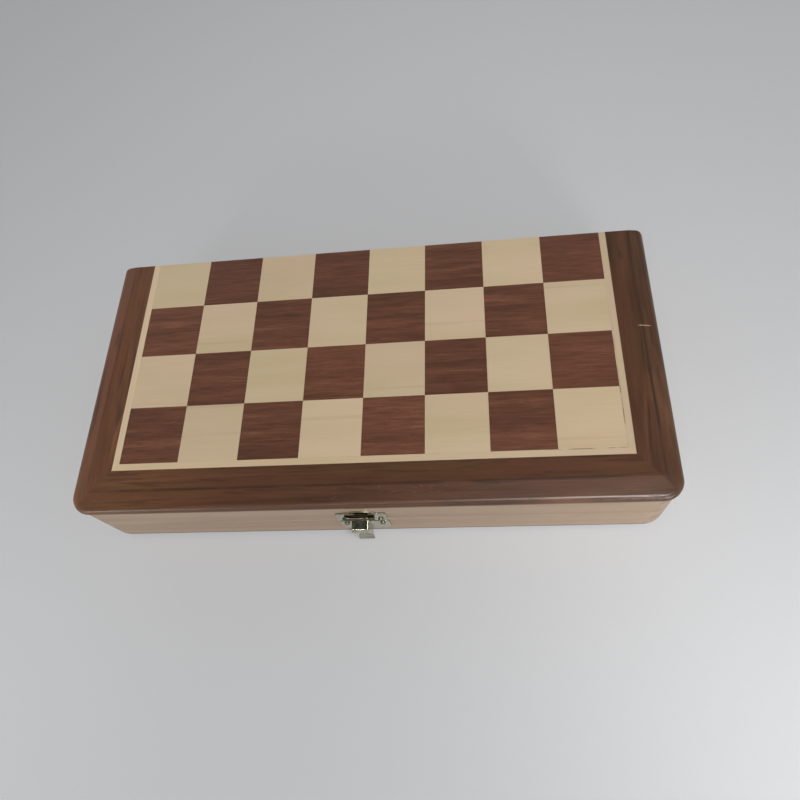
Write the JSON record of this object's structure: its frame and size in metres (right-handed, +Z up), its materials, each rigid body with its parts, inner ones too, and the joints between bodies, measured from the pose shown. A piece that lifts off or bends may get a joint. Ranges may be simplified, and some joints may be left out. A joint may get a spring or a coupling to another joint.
{
  "type": "folding chess board",
  "caption": "Wooden chess board that folds in half into a shallow box, with hinged trays, a chequered veneer face, mitred dark border, finger-jointed pale sides and a small metal latch.",
  "frame": {"origin": "centre of the face that the closed board lies on, midway along its length and midway between the latch wall and the hinge wall", "axes": "+X along the fold to the right as seen from the latch, +Y from the latch side to the hinge side, +Z up"},
  "size_m": [0.2992, 0.1613, 0.045],
  "materials": {
    "walnut": "satin lacquer",
    "dark_veneer": "satin lacquer",
    "pale_veneer": "satin lacquer",
    "pale_wood": "matt lacquer",
    "plywood": "bare",
    "felt": "matt wool felt",
    "nickel": "bright nickel plate"
  },
  "bodies": {
    "lower_half": {"lower_front_wall": "pale_wood", "lower_back_wall": "pale_wood", "lower_left_wall": "pale_wood", "lower_right_wall": "pale_wood", "lower_front_border": "walnut", "lower_left_border": "walnut", "lower_right_border": "walnut", "lower_front_stringing": "pale_veneer", "lower_left_stringing": "pale_veneer", "lower_right_stringing": "pale_veneer", "lower_dark_squares": "dark_veneer", "lower_light_squares": "pale_veneer", "lower_core_panel": "plywood", "lower_felt_lining": "felt", "lower_hinge_screws": "nickel", "left_hinge_lower_leaf": "nickel", "right_hinge_lower_leaf": "nickel", "left_hinge_pin": "nickel", "right_hinge_pin": "nickel", "latch_catch": "nickel", "latch_catch_nails": "nickel"},
    "upper_half": {"upper_front_wall": "pale_wood", "upper_back_wall": "pale_wood", "upper_left_wall": "pale_wood", "upper_right_wall": "pale_wood", "upper_front_border": "walnut", "upper_left_border": "walnut", "upper_right_border": "walnut", "upper_front_stringing": "pale_veneer", "upper_left_stringing": "pale_veneer", "upper_right_stringing": "pale_veneer", "upper_dark_squares": "dark_veneer", "upper_light_squares": "pale_veneer", "upper_core_panel": "plywood", "upper_felt_lining": "felt", "upper_hinge_screws": "nickel", "left_hinge_upper_leaf": "nickel", "right_hinge_upper_leaf": "nickel", "latch_plate": "nickel", "latch_plate_nails": "nickel", "latch_pin": "nickel"},
    "latch_tongue": {"latch_tongue": "nickel"}
  },
  "joints": [
    {"name": "lid_hinge", "type": "hinge", "parent": "lower_half", "child": "upper_half", "pos_m": [0, 0.07555, 0.0225], "axis": [-1, 0, 0], "range_deg": [0, 180]},
    {"name": "latch_hinge", "type": "hinge", "parent": "upper_half", "child": "latch_tongue", "pos_m": [-0.0015, -0.07785, 0.0339], "axis": [-1, 0, 0], "range_deg": [0, 120]}
  ]
}
